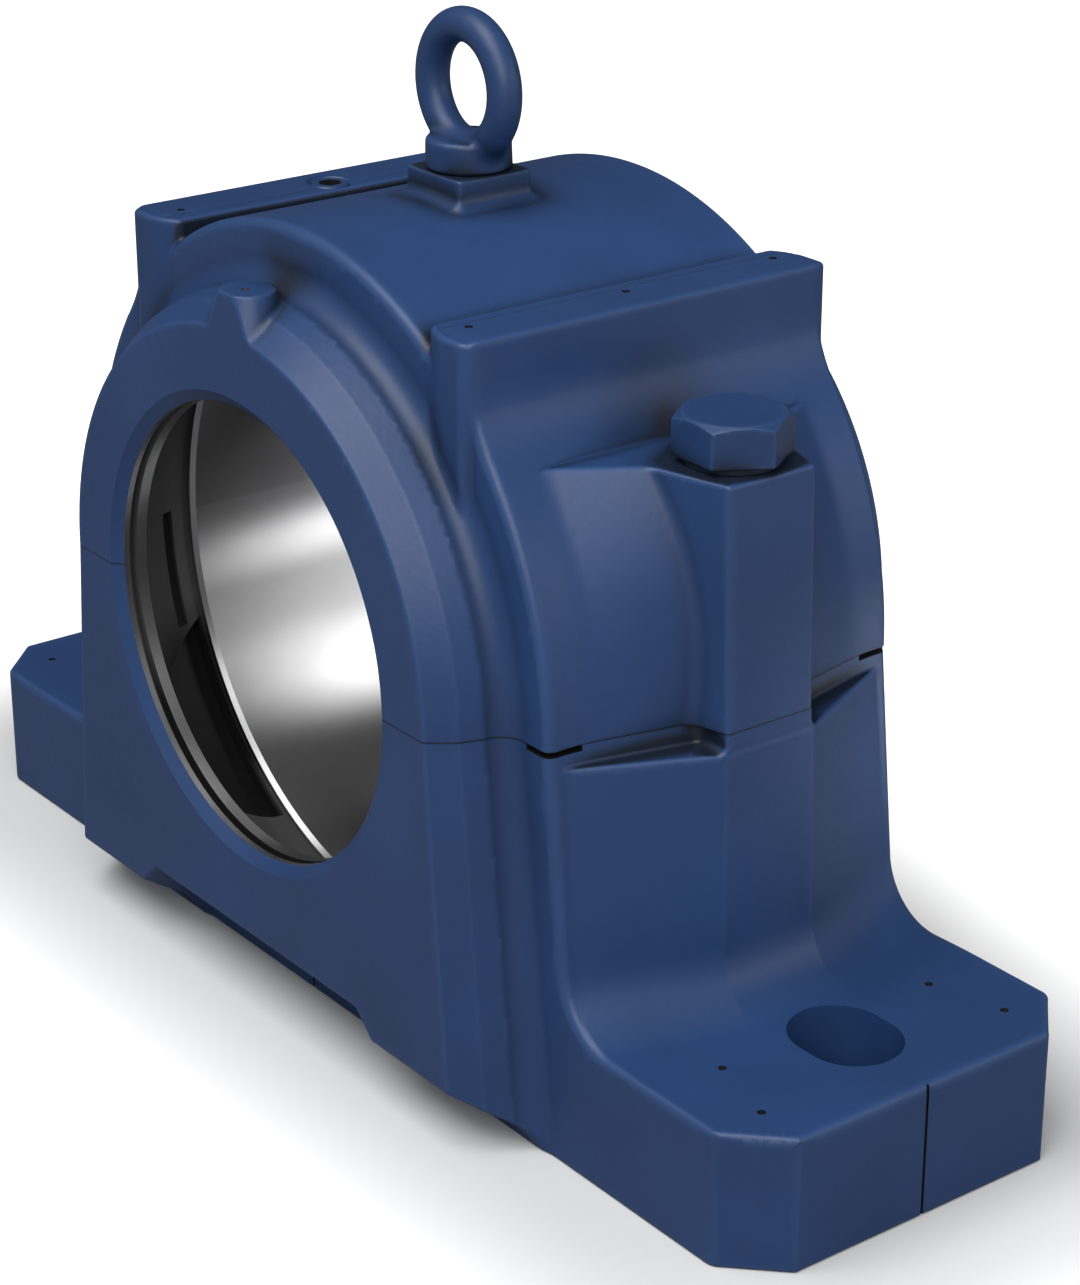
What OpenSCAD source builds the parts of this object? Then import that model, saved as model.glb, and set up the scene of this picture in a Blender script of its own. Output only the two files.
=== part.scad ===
// Split plummer block housing: cast base and cap, two cap bolts, eye bolt,
// lubrication plug and two dowel pins. Millimetres, Z up, shaft axis along Y,
// origin at the middle of the base's underside, front (photo side) to -Y.

/* [Base and feet] */
// Length over both feet
base_l = 500; // [490:1:515]
// Depth of the feet and of the barrel, front to back
body_w = 150; // [146:1:154]
// Thickness of the feet
foot_h = 50; // [46:1:54]
// Corner chamfer of the feet
corner_c = 19.5; // [12:0.5:24]
// Distance from the end of a foot to the middle of its slot
slot_in = 40; // [37:0.5:44]
// Width of a slot, across the housing
slot_w = 35; // [28:1:37]
// Length of a slot end to end, along the housing
slot_l = 42; // [38:1:46]
// Depth of a scribed centre line
scribe_d = 0.8; // [0.4:0.1:1.2]

/* [Barrel and noses] */
// Height of the shaft axis above the underside
axis_h = 150; // [148:1:153]
// Outer radius of the barrel
barrel_r = 144; // [142:0.5:146]
// Rounding of the barrel rims
rim_r = 4; // [2:0.5:5]
// Distance from the middle to a nose face
nose_y = 102; // [100:0.5:105]
// Step from the barrel's radius down to the radius of a nose face
nose_step = 32; // [31:0.5:34]
// Rise of the chamfer round a nose face
nose_c = 7; // [5:0.5:8]
// Length of that chamfer along the shaft axis
nose_run = 9.5; // [8:0.5:11]
// Drop of a nose side towards the floor, outwards
nose_draft = 11; // [9:0.5:12]
// Height of the underside of a nose at its face
nose_under = 22.5; // [18:0.5:26]
// Rise of the notch under the middle of a nose
notch_d = 9.3; // [6:0.5:12]
// Width of that notch
notch_w = 136; // [120:2:150]

/* [Bores] */
// Radius of the bearing seat
seat_r = 120; // [117:0.5:122]
// Width of the bearing seat
seat_w = 95; // [88:1:98]
// Radius of a shaft opening
open_r = 84.5; // [80:0.5:87]
// Chamfer at the mouth of a shaft opening
open_c = 3.5; // [2:0.5:4]
// Length of the land in a shaft opening, groove included
land_l = 9.5; // [8:0.5:11]
// Width of the seal groove in a shaft opening
groove_w = 3; // [2:0.5:4]
// Depth of the seal groove
groove_d = 4.5; // [2:0.5:6]
// Depth of the oil sump beyond the bearing seat
sump_d = 11; // [8:0.5:13]
// Width of the rib across the middle of the sump
rib_w = 34; // [26:1:44]

/* [Bolts and bosses] */
// Distance of a cap bolt outside the barrel's radius
bolt_out = 1.3; // [0:0.1:2.5]
// Nominal diameter of a cap bolt
bolt_d = 24; // [20:1:24]
// Width across flats of the bolt head
bolt_s = 36; // [32:1:37]
// Height of the bolt head
bolt_k = 14.5; // [12:0.5:16]
// Height of the washer face under the head
bolt_face = 2.4; // [1:0.2:3]
// Clearance of the bolt in the cap, on the diameter
bolt_clear = 2; // [1:0.5:3]
// Height of the cap's bolt boss above the split
boss_h = 86; // [82:1:89]
// Width of a bolt boss
boss_w = 37; // [35:1:40]
// Distance of a boss's outer face outside the barrel's radius
boss_out = 23; // [21:0.5:25]
// Drop of the base's webs below the split
web_drop = 7; // [5:0.5:9]
// Depth the bolt goes into the base
bolt_in = 44; // [36:1:46]

/* [Bars, pad and eye bolt] */
// Drop from the top of the barrel to the top of a bar
bar_drop = 15.3; // [13:0.1:18]
// Distance of a bar's outer face inside the barrel's radius
bar_in = 40.5; // [39:0.5:42]
// Width of a bar
bar_w = 25.5; // [23.5:0.5:27]
// Radius of the hollow run from a bar's outer face into the barrel
bar_run = 38; // [30:1:44]
// Drop from the top of the barrel to the top of a nib
nib_drop = 17.5; // [15:0.5:20]
// Diameter of a nib at its top
nib_d = 21.6; // [18:0.2:24]
// Height of the eye bolt's pad above the barrel
pad_rise = 9.5; // [7:0.5:12]
// Width of the pad at its top
pad_w = 31.6; // [30.6:0.2:34]
// Middle radius of the eye ring
eye_r = 21.2; // [20:0.2:23]
// Radius of the eye ring's bar
eye_t = 6.2; // [5.4:0.2:6.8]
// Height of the middle of the eye ring above the pad
eye_h = 28.8; // [28:0.2:31]
// Diameter of the eye bolt's collar
eye_collar = 31; // [28:0.5:31]
// Height of the eye bolt's collar
eye_foot = 9.8; // [8:0.2:11]
// Diameter of the eye bolt's thread
eye_d = 12; // [10:0.5:14]
// Length of the eye bolt's thread
eye_l = 20; // [16:1:22]
// Diameter of the lubrication plug
plug_d = 14.6; // [12:0.2:15]
// Depth of the plug in its hole
plug_in = 12.5; // [10:0.5:14]
// Diameter of a dowel pin
dowel_d = 8; // [6:0.5:9]
// Length of a dowel pin
dowel_l = 24; // [20:1:30]

/* [Hidden] */
$fn = 96;
fit = 0.15;                         // clearance of a pin, thread or plug in its hole
over = 1;                           // how far a cut runs past its face
half = base_l / 2;
by = body_w / 2;                    // front and back of the barrel
ny = nose_y;
nose_r = barrel_r - nose_step;
nose_end = nose_r + 19;             // where the nose's root meets the barrel's flank
land_end = ny - open_c - land_l;    // inner edge of the land
seat_y = seat_w / 2;
slot_x = half - slot_in;
bolt_x = barrel_r + bolt_out;
boss_x = barrel_r + boss_out;
boss_y = boss_w / 2;
boss_in = bolt_x - 22;              // inner face of a boss, buried in the barrel
head_z = axis_h + boss_h;
bar_x = barrel_r - bar_in;
bar_z = axis_h + barrel_r - bar_drop;
bar_y = by - 0.6;                   // where a bar's rounded end starts
nib_z = axis_h + barrel_r - nib_drop;
pad_z = axis_h + barrel_r + pad_rise;
plug_x = bar_x - 14.8;              // middle of the plug and of the dimples on a bar
wall_f = barrel_r + 8.5;            // half width of the body above its foot fillet
dowel_x = (seat_r + barrel_r) / 2 + 0.4;
dowel_y = seat_y - 4;
sump_z = foot_h + 57.5;             // top of the sump

// plain shapes

module both_x() { children(); mirror([1, 0, 0]) children(); }
module both_y() { children(); mirror([0, 1, 0]) children(); }

// solid between stacked outlines that have the same number of points
module loft(levels) {
  n = len(levels[0][1]);
  m = len(levels);
  pts = [for (l = levels) for (p = l[1]) [p[0], p[1], l[0]]];
  side = [for (k = [0:m - 2]) for (i = [0:n - 1])
    let (a = k * n + i, b = k * n + (i + 1) % n)
    each [[a, a + n, b], [b, a + n, b + n]]];
  low = [for (i = [0:n - 1]) i];
  top = [for (i = [n - 1:-1:0]) (m - 1) * n + i];
  polyhedron(points = pts, faces = concat([low], side, [top]), convexity = 4);
}

// outline given by its right half from front to back
function closed(h) = concat(h, [for (i = [len(h) - 1:-1:0]) [-h[i][0], h[i][1]]]);
// right half given by its front part
function frontback(h) = concat(h, [for (i = [len(h) - 1:-1:0]) [h[i][0], -h[i][1]]]);
// square outline
function sq(a) = [[-a, -a], [a, -a], [a, a], [-a, a]];

// solid or cut turned about the shaft axis, profile in radius and depth
module turned(p, a = 360) {
  translate([0, 0, axis_h]) rotate([90, 0, 0]) rotate_extrude(angle = a) polygon(p);
}
// profile given by its front half, mirrored to the back
function ring(p) = concat([for (q = p) [q[0], q[1]]],
  [for (i = [len(p) - 1:-1:0]) [p[i][0], -p[i][1]]]);

// outside of the barrel and its noses
function skin() = ring([
  [0, ny], [nose_r, ny], [nose_r + nose_c, ny - nose_run], [nose_r + 9.2, by + 10.5],
  [nose_r + 10.4, by + 7], [nose_r + 12.6, by + 3.6], [nose_r + 15.4, by + 1.2], [nose_end, by],
  [barrel_r - rim_r, by], [barrel_r - rim_r * 0.62, by - rim_r * 0.08],
  [barrel_r - rim_r * 0.29, by - rim_r * 0.29], [barrel_r - rim_r * 0.08, by - rim_r * 0.62],
  [barrel_r, by - rim_r]]);

// shaft openings with their grooves, the cavities behind them and the bearing seat
function inside() = let (g = land_end + (land_l - groove_w) * 0.65) ring([
  [0, ny + over], [open_r + open_c + over, ny + over], [open_r, ny - open_c],
  [open_r, g + groove_w], [open_r + groove_d, g + groove_w],
  [open_r + groove_d, g], [open_r, g],
  [open_r, land_end], [open_r + 10, land_end], [open_r + 17, land_end - 3.5],
  [seat_r - 13, land_end - 9.5], [seat_r - 4.5, land_end - 20], [seat_r + 1, land_end - 29],
  [seat_r + 3.6, seat_y + 6], [seat_r + 3.6, seat_y], [seat_r + 1.6, seat_y], [seat_r, seat_y - 1.6]]);

module dimple(x, y, z) {
  translate([x, y, z - 1.3]) cylinder(h = 1.5, r1 = 0.4, r2 = 1.6);
}

module dowel_holes() {
  translate([dowel_x, -dowel_y, 0]) cylinder(h = dowel_l, d = dowel_d + 2 * fit);
  translate([-dowel_x, dowel_y, 0]) cylinder(h = dowel_l, d = dowel_d + 2 * fit);
}

// casting of the cap

// plan of the web that carries a boss: it swells from the barrel and steepens upwards
function web_cap(t) = let (s = 0.235 + 0.425 * t,
    a = sqrt(barrel_r * barrel_r - boss_h * boss_h * t * t) + 1.5)
  frontback([[a - 24, -60], [a - 6, -60], [a + 13 * s, -41], [a + 28.5 * s, -26.2 + 1.5 * t],
    [a + 30 * s + 4, -20.4 + t]]);

module boss(z0, z1, spread) {
  loft([[z0, [[boss_in, -boss_y - 0.3], [boss_x + 0.8, -boss_y - 0.3],
              [boss_x + 0.8, boss_y + 0.3], [boss_in, boss_y + 0.3]]],
        [z1, [[boss_in, -boss_y - spread], [boss_x + 2 * spread, -boss_y - spread],
              [boss_x + 2 * spread, boss_y + spread], [boss_in, boss_y + spread]]]]);
}

module bar() {
  x0 = bar_x - bar_w;
  translate([0, 0, axis_h + 30]) linear_extrude(bar_z - axis_h - 30)
    polygon(frontback([[x0, -bar_y + 2], [x0 + 4, -bar_y - 0.9], [x0 + 9.5, -bar_y - 2.7],
      [x0 + 15, -bar_y - 3.4], [bar_x - 5, -bar_y - 3.2], [bar_x - 1.4, -bar_y - 1.6], [bar_x, -bar_y + 1.6]]));
}

// hollow run of the bar's outer face into the barrel: an arc that meets both
module bar_foot() {
  cx = bar_x + bar_run;
  cz = sqrt((barrel_r + bar_run) * (barrel_r + bar_run) - cx * cx);
  low = 180 + atan(cz / cx);
  arc = [for (i = [0:6]) let (a = 180 + (low - 180) * i / 6)
    [cx + (bar_run + 0.3) * cos(a), cz + (bar_run + 0.3) * sin(a)]];
  translate([0, 0, axis_h]) rotate([90, 0, 0]) linear_extrude(body_w - 6, center = true)
    polygon(concat([[bar_x - 12, cz]], arc, [[bar_x - 12, arc[6][1]]]));
}

module nib() {
  intersection() {
    translate([0, -ny + 9, nib_z - 26.5]) cylinder(h = 26.5, d1 = nib_d + 16.4, d2 = nib_d);
    translate([-30, -ny, nib_z - 30]) cube([60, 26, 40]);
  }
}

module pad() {
  loft([[pad_z - 17, sq(pad_w / 2 + 4.2)], [pad_z - 9.6, sq(pad_w / 2 + 2.6)],
        [pad_z - 6.6, sq(pad_w / 2 + 1.8)], [pad_z, sq(pad_w / 2)]]);
}

module housing_cap() {
  color([0.14, 0.25, 0.43])
  difference() {
    union() {
      turned(skin(), 180);
      both_x() boss(axis_h, head_z, -0.4);
      both_x() loft([for (t = [0, 0.2, 0.4, 0.6, 0.8, 1]) [axis_h + boss_h * t, web_cap(t)]]);
      both_x() bar();
      both_x() bar_foot();
      both_y() nib();
      pad();
    }
    turned(inside());
    // holes of the cap bolts
    both_x() translate([bolt_x, 0, axis_h - over]) cylinder(h = boss_h + 40, d = bolt_d + bolt_clear);
    // tapped hole of the eye bolt
    translate([0, 0, pad_z - eye_l - 4]) cylinder(h = eye_l + 5, d = eye_d + 2 * fit);
    // lubrication hole, tapped at the top and sunk for the plug
    translate([-plug_x, 0, axis_h + 60]) cylinder(h = bar_z - axis_h - 60, d = 6);
    translate([-plug_x, 0, bar_z - plug_in]) cylinder(h = plug_in + over, d = plug_d + 2 * fit);
    translate([-plug_x, 0, bar_z - 1.4]) cylinder(h = 2, d1 = plug_d + 0.8, d2 = plug_d + 3.6);
    // dowel holes
    translate([0, 0, axis_h - dowel_l / 2 + 0.6]) dowel_holes();
    // marking dimples
    both_y() dimple(0, -ny + 8, nib_z);
    both_x() both_y() dimple(plug_x, -by + 10, bar_z);
    dimple(plug_x, 0, bar_z);
  }
}

// casting of the base

function nose_plan(t) = closed(frontback([
  [nose_r + nose_draft * 1.12 * t, -ny],
  [nose_r + nose_c + 14 * t, -ny + nose_run + 2.3 * t],
  [nose_r + 9.2 + 16 * t, -by - 10.5 + 1.5 * t],
  [nose_r + 10.4 + 16.4 * t, -by - 7 + 0.6 * t],
  [nose_r + 13.4 + 17.5 * t, -by - 3],
  [nose_end + 20 * t, -by]]));

// trunk between the split and the feet, with hollow fillets onto them
module trunk() {
  rotate([90, 0, 0]) linear_extrude(body_w, center = true)
    polygon(closed([[barrel_r, axis_h], [barrel_r + 2.2, axis_h - 20], [barrel_r + 4.9, axis_h - 46],
      [barrel_r + 7.6, foot_h + 29], [wall_f, foot_h + 21.5], [wall_f + 2.6, foot_h + 13.6],
      [wall_f + 7.2, foot_h + 7.4], [wall_f + 13.8, foot_h + 3], [wall_f + 24, foot_h],
      [wall_f + 24, foot_h - 10]]));
}

// plan of a flat web from the corner of the body to the outer corner of a boss
function web_base(t) = let (a = barrel_r + 0.6 + 9.5 * t, b = by - 11 + 4 * t)
  frontback([[a - 30, -b], [a, -b], [boss_x + 0.5 + 2.2 * t, 0.5 - boss_y - 1.2 * t]]);

module web_foot() {
  loft([[foot_h - 10, web_base(1)], [axis_h - web_drop, web_base(0)]]);
}

module foot_plate() {
  linear_extrude(foot_h)
    polygon([[-half + corner_c, -by], [half - corner_c, -by], [half, -by + corner_c],
      [half, by - corner_c], [half - corner_c, by], [-half + corner_c, by],
      [-half, by - corner_c], [-half, -by + corner_c]]);
}

module slot_hole() {
  run = (slot_l - slot_w) / 2;
  translate([slot_x - run, 0, -over]) cylinder(h = foot_h + 2 * over, d = slot_w);
  translate([slot_x + run, 0, -over]) cylinder(h = foot_h + 2 * over, d = slot_w);
  translate([slot_x - run, -slot_w / 2, -over]) cube([2 * run, slot_w, foot_h + 2 * over]);
}

// underside of a nose, falling from its face to the foot's edge
module nose_cut(rise, w) {
  rotate([90, 0, 90]) linear_extrude(w, center = true)
    polygon([[-by, -over], [-by, 5 + rise], [-ny - over, nose_under + rise + 0.65], [-ny - over, -over]]);
}

// oil sump on both sides of the bearing seat, with a rib across its middle
module sump() {
  low = axis_h - seat_r + 14;
  difference() {
    intersection() {
      both_y() translate([0, -seat_y - 3.5, axis_h]) rotate([90, 0, 0])
        cylinder(h = by - seat_y - 6.5, r = seat_r + sump_d);
      translate([-2 * seat_r, -by, -by]) cube([4 * seat_r, 2 * by, by + sump_z]);
    }
    translate([0, 0, low]) rotate([90, 0, 0]) cylinder(h = 2 * by, r = rib_w / 2, center = true);
    translate([-rib_w / 2, -by, 0]) cube([rib_w, 2 * by, low]);
  }
}

module housing_base() {
  color([0.14, 0.25, 0.43])
  difference() {
    union() {
      foot_plate();
      trunk();
      loft([[0, nose_plan(1)], [axis_h, nose_plan(0)]]);
      both_x() mirror([0, 0, 1]) boss(-axis_h, 10 - foot_h, 1.5);
      both_x() web_foot();
    }
    turned(inside());
    sump();
    both_y() nose_cut(0, 2 * half);
    both_y() nose_cut(notch_d, notch_w);
    both_x() slot_hole();
    // tapped holes of the cap bolts
    both_x() translate([bolt_x, 0, axis_h - bolt_in - 6]) cylinder(h = bolt_in + 7, d = bolt_d + 2 * fit);
    translate([0, 0, axis_h - dowel_l / 2]) dowel_holes();
    // prising gaps at the corners of the split
    both_x() both_y() translate([barrel_r - 11.5, -by - 2, axis_h - 2.2]) cube([30, 16, 4]);
    // drain grooves from the split into the sump
    both_x() both_y() translate([seat_r - 14, -by + 12.5, sump_z - over]) cube([13.5, 7.5, axis_h - sump_z + 2 * over]);
    // dimples and centre lines
    both_x() both_y() dimple(half - 48.7, -by + 28.5, foot_h);
    both_x() both_y() dimple(half - 20, -by + 20.6, foot_h);
    both_x() translate([half - scribe_d, -0.6, -over]) cube([scribe_d + over, 1.2, foot_h + 2 * over]);
    both_y() translate([-0.6, -by - over, -over]) cube([1.2, scribe_d + over, 24]);
  }
}

// cap bolts

module cap_bolt() {
  z0 = head_z + bolt_face;
  low = axis_h - bolt_in;
  color([0.14, 0.24, 0.42])
  translate([bolt_x, 0, 0]) {
    intersection() {
      translate([0, 0, z0]) cylinder(h = bolt_k, d = bolt_s / cos(30), $fn = 6);
      translate([0, 0, z0]) cylinder(h = bolt_k, r1 = bolt_s / 2 + bolt_k * 1.73, r2 = bolt_s * 0.475);
    }
    translate([0, 0, head_z]) cylinder(h = bolt_face + over, d = bolt_s * 0.94);
    translate([0, 0, low + 1.5]) cylinder(h = boss_h + bolt_in, d = bolt_d);
    translate([0, 0, low]) cylinder(h = 1.5, d1 = bolt_d - 3, d2 = bolt_d);
  }
}

module cap_bolt_right() { cap_bolt(); }
module cap_bolt_left() { mirror([1, 0, 0]) cap_bolt(); }

module eye_bolt() {
  color([0.14, 0.24, 0.42])
  translate([0, 0, pad_z]) {
    translate([0, 0, eye_h]) rotate([90, 0, 0]) rotate_extrude() translate([eye_r, 0]) circle(r = eye_t, $fn = 48);
    cylinder(h = 1, d1 = eye_collar - 1.6, d2 = eye_collar);
    translate([0, 0, 1]) cylinder(h = eye_foot - 2.8, d = eye_collar);
    translate([0, 0, eye_foot - 1.8]) cylinder(h = 1.8, d1 = eye_collar, d2 = eye_collar - 5);
    translate([0, 0, 1 - eye_l]) cylinder(h = eye_l, d = eye_d);
    translate([0, 0, -eye_l]) cylinder(h = 1, d1 = eye_d - 2, d2 = eye_d);
  }
}

module lube_plug() {
  color([0.13, 0.21, 0.36])
  translate([-plug_x, 0, bar_z]) difference() {
    union() {
      translate([0, 0, -plug_in]) cylinder(h = plug_in - 0.5, d = plug_d);
      translate([0, 0, -0.5]) cylinder(h = 0.7, d1 = plug_d, d2 = plug_d - 1.4);
    }
    translate([0, 0, -7]) cylinder(h = 8, d = 8 / cos(30), $fn = 6);
  }
}

module dowel() {
  color([0.6, 0.6, 0.62])
  translate([0, 0, axis_h - dowel_l / 2]) {
    cylinder(h = 1, d1 = dowel_d - 1.6, d2 = dowel_d);
    translate([0, 0, 1]) cylinder(h = dowel_l - 2, d = dowel_d);
    translate([0, 0, dowel_l - 1]) cylinder(h = 1, d1 = dowel_d, d2 = dowel_d - 1.6);
  }
}
module dowel_right() { translate([dowel_x, -dowel_y, 0]) dowel(); }
module dowel_left() { translate([-dowel_x, dowel_y, 0]) dowel(); }

housing_base();
housing_cap();
cap_bolt_right();
cap_bolt_left();
eye_bolt();
lube_plug();
dowel_right();
dowel_left();
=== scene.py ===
"""Looks of a split plummer block housing: two painted castings, their bolts, an eye bolt, a plug and dowels.

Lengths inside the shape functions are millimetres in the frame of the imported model: +X along the feet,
+Y along the shaft axis away from the front, +Z up, origin under the middle of the base.
"""

import math
from functools import partial
from types import SimpleNamespace

import bpy
import numpy as np
import openvdb
from mathutils import Matrix, Vector


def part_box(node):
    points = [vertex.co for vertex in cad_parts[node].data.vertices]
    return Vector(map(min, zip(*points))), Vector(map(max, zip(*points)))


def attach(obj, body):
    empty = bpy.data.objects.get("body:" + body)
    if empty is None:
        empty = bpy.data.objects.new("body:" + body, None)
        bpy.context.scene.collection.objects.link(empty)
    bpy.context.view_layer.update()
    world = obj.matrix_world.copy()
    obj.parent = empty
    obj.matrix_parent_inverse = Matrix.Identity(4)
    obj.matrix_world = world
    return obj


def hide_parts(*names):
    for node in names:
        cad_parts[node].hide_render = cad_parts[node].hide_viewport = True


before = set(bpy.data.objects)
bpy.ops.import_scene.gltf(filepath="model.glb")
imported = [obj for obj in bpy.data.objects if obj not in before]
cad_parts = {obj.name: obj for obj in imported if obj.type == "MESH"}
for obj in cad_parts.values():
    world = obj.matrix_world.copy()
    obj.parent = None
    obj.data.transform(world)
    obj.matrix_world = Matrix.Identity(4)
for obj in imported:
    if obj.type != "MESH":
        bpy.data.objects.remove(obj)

bl_info = {
    "name": "Split plummer block housing",
    "version": (1, 0, 0),
    "blender": (4, 5, 0),
    "location": "View3D > Sidebar > Plummer block",
    "description": "Builds the castings, fasteners and stage of a split plummer block housing",
    "category": "Add Mesh",
}

MM = 0.001

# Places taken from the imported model, in millimetres
SPLIT_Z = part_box("housing_cap")[0].z / MM
HALF_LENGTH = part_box("housing_base")[1].x / MM
NOSE_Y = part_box("housing_base")[1].y / MM
EYE_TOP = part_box("eye_bolt")[1].z / MM
BOLT_X = sum(corner.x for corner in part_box("cap_bolt_right")) / 2 / MM
BOLT_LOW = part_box("cap_bolt_right")[0].z / MM
BOLT_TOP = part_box("cap_bolt_right")[1].z / MM

# Slots of the castings' materials
PAINT, STEEL, CAVITY, SEAT = range(4)

# Gap round a pin or a thread in its hole, and room round a casting in its grid, in millimetres
FIT_GAP = 0.15
CAST_MARGIN = 4.0

# Angle in degrees past which an edge of a casting is sharp
CAST_ANGLE = 28.0

# Grid steps of the bolt heads and the eye, in millimetres
HEAD_VOXEL = 0.45
EYE_VOXEL = 0.6

# How far flat parts of the castings' and the bolts' meshes are thinned
CAST_ADAPT = 0.006
BOLT_ADAPT = 0.01

# Reaches over which the closed attribute looks for what stands near, in millimetres, for the painted shade in
# nooks
SHADE_REACHES = (4.0, 9.0, 18.0)


def length(label, words, millimetres):
    """A length property, given in millimetres and kept in metres."""
    return bpy.props.FloatProperty(
        name=label, description=words, default=millimetres * MM, min=0.0, unit="LENGTH", precision=4)


def colour(label, words, value):
    """A colour property in linear light."""
    return bpy.props.FloatVectorProperty(
        name=label, description=words, default=value, min=0.0, max=1.0, size=3, subtype="COLOR")


def share(label, words, value, top=1.0):
    """A plain number property."""
    return bpy.props.FloatProperty(name=label, description=words, default=value, min=0.0, max=top)


class HousingSizes(bpy.types.PropertyGroup):
    """Driving sizes of the housing."""

    axis_z: length("Shaft height", "Height of the shaft axis and of the split", SPLIT_Z)
    half_length: length("Half length", "Half the length over the feet", HALF_LENGTH)
    half_depth: length("Half depth", "Half the depth of feet and barrel", 75.0)
    foot_z: length("Foot height", "Thickness of the feet", 50.0)
    corner: length("Foot corner", "Chamfer of the corners of the feet", 19.5)
    foot_fillet: length("Foot fillet", "Hollow fillet from the body onto the feet", 24.0)
    barrel_r: length("Barrel radius", "Outer radius of the barrel", 144.0)
    rim: length("Rim rounding", "Rounding of the barrel's rims", 3.6)
    nose_y: length("Nose reach", "Distance from the middle to a nose face", NOSE_Y)
    nose_r: length("Nose radius", "Radius of a nose face", 112.0)
    nose_rise: length("Nose chamfer rise", "Radial size of the chamfer round a nose", 7.0)
    nose_run: length("Nose chamfer run", "Size of that chamfer along the axis", 9.6)
    nose_root: length("Nose root fillet", "Fillet from a nose onto the barrel's end", 9.0)
    nose_under: length("Nose underside", "Height of a nose's underside at its face", 22.5)
    notch_rise: length("Notch rise", "Rise of the notch under a nose", 9.3)
    notch_half: length("Notch half width", "Half the width of that notch at its top", 68.0)
    seat_r: length("Seat radius", "Radius of the bearing seat", 120.0)
    seat_half: length("Seat half width", "Half the width of the bearing seat", 47.5)
    open_r: length("Opening radius", "Radius of a shaft opening", 84.5)
    open_chamfer: length("Opening chamfer", "Depth of the chamfer at the mouth of an opening", 3.5)
    open_rise: length("Opening chamfer rise", "Radial size of that chamfer", 4.2)
    land: length("Land", "Length of the land in an opening", 9.5)
    groove: length("Groove width", "Width of the seal groove", 3.0)
    groove_deep: length("Groove depth", "Depth of the seal groove", 4.5)
    boss_z: length("Boss top", "Height of the top of the cap's bolt bosses", SPLIT_Z + 86.0)
    boss_x: length("Boss reach", "Distance of a boss's outer face from the middle", 167.8)
    boss_half: length("Boss half width", "Half the width of a bolt boss", 18.5)
    boss_flare: share("Boss flare", "Widening of a boss toward the barrel, per length", 0.27)
    boss_fillet: length("Boss fillet", "Fillet between a boss and its webs", 7.0)
    bar_out: length("Bar outside", "Distance of a bar's outer face from the middle", 103.5)
    bar_in: length("Bar inside", "Distance of a bar's inner face from the middle", 78.0)
    bar_z: length("Bar top", "Height of the top of the bars", 278.7)
    bar_end: length("Bar end", "Distance of a bar's ends from the middle", 77.8)
    bar_run: length("Bar run", "Radius of the hollow run from a bar into the barrel", 38.0)
    nib_z: length("Nib top", "Height of the nib on a nose", 275.8)
    nib_r: length("Nib radius", "Radius of a nib at its top", 9.9)
    pad_z: length("Pad top", "Height of the eye bolt's pad", 303.5)
    pad_half: length("Pad half width", "Half the width of the pad at its top", 15.8)
    slot_x: length("Slot place", "Distance of a slot from the middle", 210.0)
    slot_half: length("Slot half length", "Half the length of a slot", 21.0)
    slot_r: length("Slot radius", "Half the width of a slot", 17.5)
    bolt_af: length("Bolt across flats", "Width across flats of the cap bolts", 36.0)
    bolt_d: length("Bolt diameter", "Nominal diameter of the cap bolts", 24.0)
    bolt_face: length("Washer face", "Height of the washer face under a bolt head", 2.4)
    eye_r: length("Eye radius", "Middle radius of the eye ring", 21.2)
    eye_bar: length("Eye bar radius", "Radius of the ring's bar", 6.2)
    collar_r: length("Collar radius", "Radius of the eye bolt's collar", 15.5)
    collar_h: length("Collar height", "Height of the eye bolt's collar", 11.2)
    plug_x: length("Plug place", "Distance of the plug from the middle", 88.7)
    plug_r: length("Plug radius", "Radius of the lubrication plug", 7.3)
    socket: length("Plug socket", "Width across flats of the socket in the plug", 8.0)
    rib_half: length("Half width of the sump's rib", "Across the bottom of the cavity, along X", 62.5)
    web_drop: length("Web drop", "Drop of the base's webs below the split", 7.0)
    # painted shade: a dark band in the paint stands for the thin gap between cap and base
    split_line: length("Split line", "Half the width of the dark line between cap and base", 0.35)
    voxel: length("Voxel", "Grid step on which the castings are meshed", 0.8)


class FinishLook(bpy.types.PropertyGroup):
    """Colours and gloss of the finishes."""

    paint: colour("Paint", "Blue paint of the castings", (0.018, 0.056, 0.172))
    # painted highlight: paler paint on outer edges, standing in for the light that their rounding catches
    paint_edge: colour("Paint on edges", "Paint worn thinner and paler on edges", (0.060, 0.125, 0.290))
    # darker paint, used for the slow drift of colour and as painted shade in corners and hollows
    paint_deep: colour("Paint in corners", "Paint in corners and hollows", (0.008, 0.022, 0.066))
    paint_rough: share("Paint roughness", "Roughness of the paint", 0.45)
    steel: colour("Machined steel", "Bare machined surfaces", (0.52, 0.52, 0.53))
    cavity: colour("Cavity", "Unmachined surfaces inside the housing", (0.085, 0.085, 0.088))


class StageLook(bpy.types.PropertyGroup):
    """Light and floor of the studio."""

    key: share("Key light", "Power of the light from above, in watts", 45.0, 500.0)
    fill: share("Fill light", "Power of the light from the left, in watts", 1.5, 500.0)
    soft: share("Softbox", "Power of the softbox above the camera, in watts", 14.5, 500.0)
    floor_light: share(
        "Floor light", "Power of the light over the floor behind the right foot, in watts", 2.4, 500.0)
    right_card: share("Right card", "Power of the wide dim light behind the right foot, in watts", 6.0, 500.0)
    low_glint: share("Low glint", "Power of the strip light low behind the bore, in watts", 0.022, 500.0)
    high_glint: share("High glint", "Power of the small light high behind the bore, in watts", 0.014, 500.0)
    room: share("Room light", "Strength of the even light of the room", 0.22, 10.0)
    mirror: share("Mirrored room", "Strength of the room in reflections", 0.06, 10.0)
    floor_lit: share("Floor glow", "Light that the floor adds of itself where it is seen", 0.88)


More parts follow.
